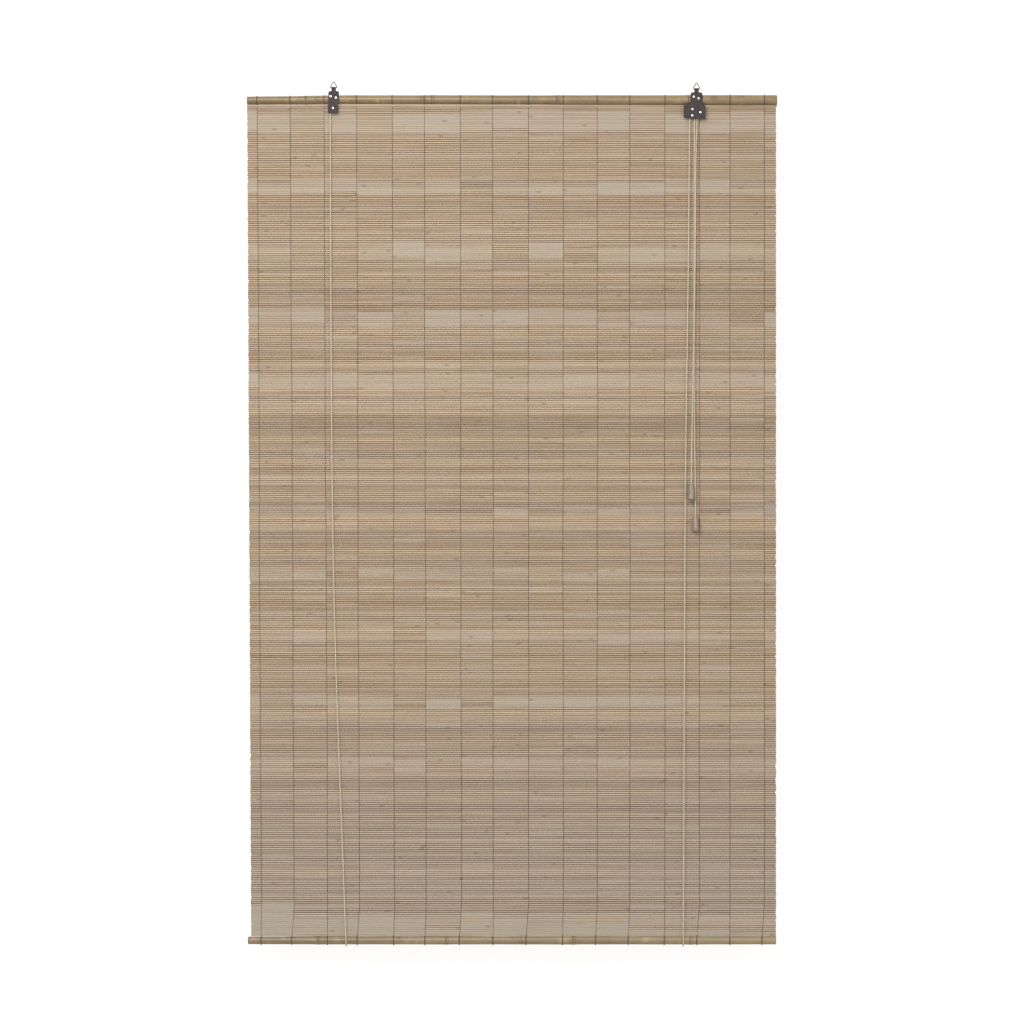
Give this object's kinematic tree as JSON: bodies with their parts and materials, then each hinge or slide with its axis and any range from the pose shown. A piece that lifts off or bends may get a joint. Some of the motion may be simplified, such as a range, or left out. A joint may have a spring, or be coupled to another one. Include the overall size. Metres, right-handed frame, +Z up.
{
  "type": "bamboo roll up blind",
  "caption": "Roll up blind of split bamboo slats woven on threads between two bamboo poles, hung by two rings, raised by a looped lift cord with lock and tassels.",
  "frame": {"origin": "the point midway along the blind on the line through the top of the left hanging ring, in the plane of the mat", "axes": "+Z up, +X to the right seen from the room, -Y faces the room"},
  "size_m": [1, 0.0366, 1.6315],
  "materials": {
    "bamboo_slats": "matte split bamboo",
    "bamboo_poles": "satin bamboo culm",
    "warp_thread": "dark brown cotton thread",
    "lift_cord": "cream braided cord",
    "tassel_wood": "turned wood, clear lacquer",
    "ring_steel": "grey steel wire",
    "bracket_paint": "dark brown paint on sheet steel, worn",
    "sheave_plastic": "off-white nylon",
    "rivet_steel": "bright plated steel"
  },
  "bodies": {
    "frame": {"head_rail": "bamboo_poles", "head_rail_thread_wraps": "warp_thread", "left_hanger_plate": "bracket_paint", "right_hanger_plate": "bracket_paint", "lock_back_plate": "bracket_paint", "plate_screws": "rivet_steel", "sheave_axles": "rivet_steel", "cord_tacks": "rivet_steel", "slats_top": "bamboo_slats", "warp_threads": "warp_thread", "left_lift_cord_front": "lift_cord", "right_lift_cord_front": "lift_cord", "left_lift_cord_back": "lift_cord", "right_lift_cord_back": "lift_cord", "cross_cord": "lift_cord", "pull_cord_1": "lift_cord", "pull_cord_2": "lift_cord", "tassel_1": "tassel_wood", "tassel_2": "tassel_wood"},
    "cord_loops": {"cord_loops": "lift_cord"},
    "bottom_rail": {"bottom_rail": "bamboo_poles", "bottom_rail_thread_wraps": "warp_thread"},
    "left_ring": {"left_ring": "ring_steel"},
    "right_ring": {"right_ring": "ring_steel"},
    "left_sheave": {"left_sheave": "sheave_plastic"},
    "lock_sheave_upper": {"lock_sheave_upper": "sheave_plastic"},
    "lock_sheave_lower": {"lock_sheave_lower": "sheave_plastic"},
    "lock_cam": {"lock_cam": "bracket_paint"},
    "strip_01": {"slats_01": "bamboo_slats"},
    "strip_02": {"slats_02": "bamboo_slats"},
    "strip_03": {"slats_03": "bamboo_slats"},
    "strip_04": {"slats_04": "bamboo_slats"},
    "strip_05": {"slats_05": "bamboo_slats"},
    "strip_06": {"slats_06": "bamboo_slats"},
    "strip_07": {"slats_07": "bamboo_slats"},
    "strip_08": {"slats_08": "bamboo_slats"},
    "strip_09": {"slats_09": "bamboo_slats"},
    "strip_10": {"slats_10": "bamboo_slats"},
    "strip_11": {"slats_11": "bamboo_slats"},
    "strip_12": {"slats_12": "bamboo_slats"},
    "strip_13": {"slats_13": "bamboo_slats"},
    "strip_14": {"slats_14": "bamboo_slats"},
    "strip_15": {"slats_15": "bamboo_slats"},
    "strip_16": {"slats_16": "bamboo_slats"},
    "strip_17": {"slats_17": "bamboo_slats"},
    "strip_18": {"slats_18": "bamboo_slats"},
    "strip_19": {"slats_19": "bamboo_slats"},
    "strip_20": {"slats_20": "bamboo_slats"},
    "strip_21": {"slats_21": "bamboo_slats"},
    "strip_22": {"slats_22": "bamboo_slats"},
    "strip_23": {"slats_23": "bamboo_slats"},
    "strip_24": {"slats_24": "bamboo_slats"},
    "strip_25": {"slats_25": "bamboo_slats"},
    "strip_26": {"slats_26": "bamboo_slats"},
    "strip_27": {"slats_27": "bamboo_slats"},
    "strip_28": {"slats_28": "bamboo_slats"},
    "strip_29": {"slats_29": "bamboo_slats"},
    "strip_30": {"slats_30": "bamboo_slats"},
    "strip_31": {"slats_31": "bamboo_slats"},
    "strip_32": {"slats_32": "bamboo_slats"}
  },
  "joints": [
    {"name": "roll_up", "type": "slide", "parent": "frame", "child": "cord_loops", "axis": [0, 0.0296, 0.9996], "range_m": [0, 1.52857], "deforming": ["warp_threads", "left_lift_cord_front", "right_lift_cord_front", "left_lift_cord_back", "right_lift_cord_back"]},
    {"name": "rail_turn", "type": "hinge", "parent": "cord_loops", "child": "bottom_rail", "pos_m": [0, 0, -1.6209], "axis": [1, 0, 0], "range_deg": [0, 2885]},
    {"name": "strip_01_lift", "type": "slide", "parent": "frame", "child": "strip_01", "axis": [0, 0.6474, 0.7621], "range_m": [0, 0.0595]},
    {"name": "strip_02_lift", "type": "slide", "parent": "frame", "child": "strip_02", "axis": [0, 0.14, 0.9901], "range_m": [0, 0.05645]},
    {"name": "strip_03_lift", "type": "slide", "parent": "frame", "child": "strip_03", "axis": [0, 0.6295, 0.777], "range_m": [0, 0.08821]},
    {"name": "strip_04_lift", "type": "slide", "parent": "frame", "child": "strip_04", "axis": [0, 0.328, 0.9447], "range_m": [0, 0.10707]},
    {"name": "strip_05_lift", "type": "slide", "parent": "frame", "child": "strip_05", "axis": [0, 0.3461, 0.9382], "range_m": [0, 0.18992]},
    {"name": "strip_06_lift", "type": "slide", "parent": "frame", "child": "strip_06", "axis": [0, 0.3547, 0.935], "range_m": [0, 0.24289]},
    {"name": "strip_07_lift", "type": "slide", "parent": "frame", "child": "strip_07", "axis": [0, 0.1125, 0.9937], "range_m": [0, 0.28189]},
    {"name": "strip_08_lift", "type": "slide", "parent": "frame", "child": "strip_08", "axis": [0, 0.1608, 0.987], "range_m": [0, 0.3664]},
    {"name": "strip_09_lift", "type": "slide", "parent": "frame", "child": "strip_09", "axis": [0, 0.0641, 0.9979], "range_m": [0, 0.44203]},
    {"name": "strip_10_lift", "type": "slide", "parent": "frame", "child": "strip_10", "axis": [0, 0.0967, 0.9953], "range_m": [0, 0.46885]},
    {"name": "strip_11_lift", "type": "slide", "parent": "frame", "child": "strip_11", "axis": [0, 0.0086, 1], "range_m": [0, 0.52063]},
    {"name": "strip_12_lift", "type": "slide", "parent": "frame", "child": "strip_12", "axis": [0, 0.0379, 0.9993], "range_m": [0, 0.5679]},
    {"name": "strip_13_lift", "type": "slide", "parent": "frame", "child": "strip_13", "axis": [0, 0.0806, 0.9967], "range_m": [0, 0.6467]},
    {"name": "strip_14_lift", "type": "slide", "parent": "frame", "child": "strip_14", "axis": [0, 0.0519, 0.9986], "range_m": [0, 0.67602]},
    {"name": "strip_15_lift", "type": "slide", "parent": "frame", "child": "strip_15", "axis": [0, 0.0639, 0.998], "range_m": [0, 0.65582]},
    {"name": "strip_16_lift", "type": "slide", "parent": "frame", "child": "strip_16", "axis": [0, 0.1092, 0.994], "range_m": [0, 0.72674]},
    {"name": "strip_17_lift", "type": "slide", "parent": "frame", "child": "strip_17", "axis": [0, 0.0702, 0.9975], "range_m": [0, 0.7912]},
    {"name": "strip_18_lift", "type": "slide", "parent": "frame", "child": "strip_18", "axis": [0, 0.0499, 0.9988], "range_m": [0, 0.77263]},
    {"name": "strip_19_lift", "type": "slide", "parent": "frame", "child": "strip_19", "axis": [0, 0.0134, 0.9999], "range_m": [0, 0.84069]},
    {"name": "strip_20_lift", "type": "slide", "parent": "frame", "child": "strip_20", "axis": [0, 0.0569, 0.9984], "range_m": [0, 0.85562]},
    {"name": "strip_21_lift", "type": "slide", "parent": "frame", "child": "strip_21", "axis": [0, 0.0267, 0.9996], "range_m": [0, 0.93267]},
    {"name": "strip_22_lift", "type": "slide", "parent": "frame", "child": "strip_22", "axis": [0, 0.0759, 0.9971], "range_m": [0, 1.00045]},
    {"name": "strip_23_lift", "type": "slide", "parent": "frame", "child": "strip_23", "axis": [0, 0.0512, 0.9987], "range_m": [0, 1.0176]},
    {"name": "strip_24_lift", "type": "slide", "parent": "frame", "child": "strip_24", "axis": [0, 0.0631, 0.998], "range_m": [0, 1.09555]},
    {"name": "strip_25_lift", "type": "slide", "parent": "frame", "child": "strip_25", "axis": [0, 0.0127, 0.9999], "range_m": [0, 1.15664]},
    {"name": "strip_26_lift", "type": "slide", "parent": "frame", "child": "strip_26", "axis": [0, 0.0509, 0.9987], "range_m": [0, 1.2254]},
    {"name": "strip_27_lift", "type": "slide", "parent": "frame", "child": "strip_27", "axis": [0, 0.0347, 0.9994], "range_m": [0, 1.30506]},
    {"name": "strip_28_lift", "type": "slide", "parent": "frame", "child": "strip_28", "axis": [0, 0.0547, 0.9985], "range_m": [0, 1.32567]},
    {"name": "strip_29_lift", "type": "slide", "parent": "frame", "child": "strip_29", "axis": [0, 0.03, 0.9996], "range_m": [0, 1.39835]},
    {"name": "strip_30_lift", "type": "slide", "parent": "frame", "child": "strip_30", "axis": [0, 0.0128, 0.9999], "range_m": [0, 1.41756]},
    {"name": "strip_31_lift", "type": "slide", "parent": "frame", "child": "strip_31", "axis": [0, 0.0562, 0.9984], "range_m": [0, 1.47277]},
    {"name": "strip_32_lift", "type": "slide", "parent": "frame", "child": "strip_32", "axis": [0, 0.0318, 0.9995], "range_m": [0, 1.53302]},
    {"name": "left_sheave_spin", "type": "hinge", "parent": "frame", "child": "left_sheave", "pos_m": [-0.3374, -0.0064, -0.0501], "axis": [0, 1, 0], "continuous": true},
    {"name": "lock_sheave_upper_spin", "type": "hinge", "parent": "frame", "child": "lock_sheave_upper", "pos_m": [0.34, -0.00738, -0.0526], "axis": [0, 1, 0], "continuous": true},
    {"name": "lock_sheave_lower_spin", "type": "hinge", "parent": "frame", "child": "lock_sheave_lower", "pos_m": [0.3552, -0.00738, -0.0585], "axis": [0, 1, 0], "continuous": true},
    {"name": "lock_cam_turn", "type": "hinge", "parent": "frame", "child": "lock_cam", "pos_m": [0.3396, -0.00738, -0.0644], "axis": [0, 1, 0], "range_deg": [0, 25]},
    {"name": "left_ring_swing", "type": "hinge", "parent": "frame", "child": "left_ring", "pos_m": [-0.336, -0.00901, -0.0122], "axis": [1, 0, 0], "range_deg": [-80, 80]},
    {"name": "right_ring_swing", "type": "hinge", "parent": "frame", "child": "right_ring", "pos_m": [0.3477, -0.01123, -0.0148], "axis": [1, 0, 0], "range_deg": [-80, 80]}
  ],
  "couplings": [
    {"joint": "rail_turn", "follows": "roll_up", "rad_per_m": 32.884},
    {"joint": "strip_01_lift", "follows": "roll_up", "ratio": 0.038904},
    {"joint": "strip_02_lift", "follows": "roll_up", "ratio": 0.036909},
    {"joint": "strip_03_lift", "follows": "roll_up", "ratio": 0.057675},
    {"joint": "strip_04_lift", "follows": "roll_up", "ratio": 0.07001},
    {"joint": "strip_05_lift", "follows": "roll_up", "ratio": 0.12419},
    {"joint": "strip_06_lift", "follows": "roll_up", "ratio": 0.15882},
    {"joint": "strip_07_lift", "follows": "roll_up", "ratio": 0.18432},
    {"joint": "strip_08_lift", "follows": "roll_up", "ratio": 0.23958},
    {"joint": "strip_09_lift", "follows": "roll_up", "ratio": 0.28903},
    {"joint": "strip_10_lift", "follows": "roll_up", "ratio": 0.30657},
    {"joint": "strip_11_lift", "follows": "roll_up", "ratio": 0.34043},
    {"joint": "strip_12_lift", "follows": "roll_up", "ratio": 0.37134},
    {"joint": "strip_13_lift", "follows": "roll_up", "ratio": 0.42286},
    {"joint": "strip_14_lift", "follows": "roll_up", "ratio": 0.44203},
    {"joint": "strip_15_lift", "follows": "roll_up", "ratio": 0.42883},
    {"joint": "strip_16_lift", "follows": "roll_up", "ratio": 0.4752},
    {"joint": "strip_17_lift", "follows": "roll_up", "ratio": 0.51735},
    {"joint": "strip_18_lift", "follows": "roll_up", "ratio": 0.50521},
    {"joint": "strip_19_lift", "follows": "roll_up", "ratio": 0.54971},
    {"joint": "strip_20_lift", "follows": "roll_up", "ratio": 0.55947},
    {"joint": "strip_21_lift", "follows": "roll_up", "ratio": 0.60986},
    {"joint": "strip_22_lift", "follows": "roll_up", "ratio": 0.65417},
    {"joint": "strip_23_lift", "follows": "roll_up", "ratio": 0.66539},
    {"joint": "strip_24_lift", "follows": "roll_up", "ratio": 0.71635},
    {"joint": "strip_25_lift", "follows": "roll_up", "ratio": 0.7563},
    {"joint": "strip_26_lift", "follows": "roll_up", "ratio": 0.80126},
    {"joint": "strip_27_lift", "follows": "roll_up", "ratio": 0.85335},
    {"joint": "strip_28_lift", "follows": "roll_up", "ratio": 0.86683},
    {"joint": "strip_29_lift", "follows": "roll_up", "ratio": 0.91435},
    {"joint": "strip_30_lift", "follows": "roll_up", "ratio": 0.92691},
    {"joint": "strip_31_lift", "follows": "roll_up", "ratio": 0.96301},
    {"joint": "strip_32_lift", "follows": "roll_up", "ratio": 1.0024}
  ]
}
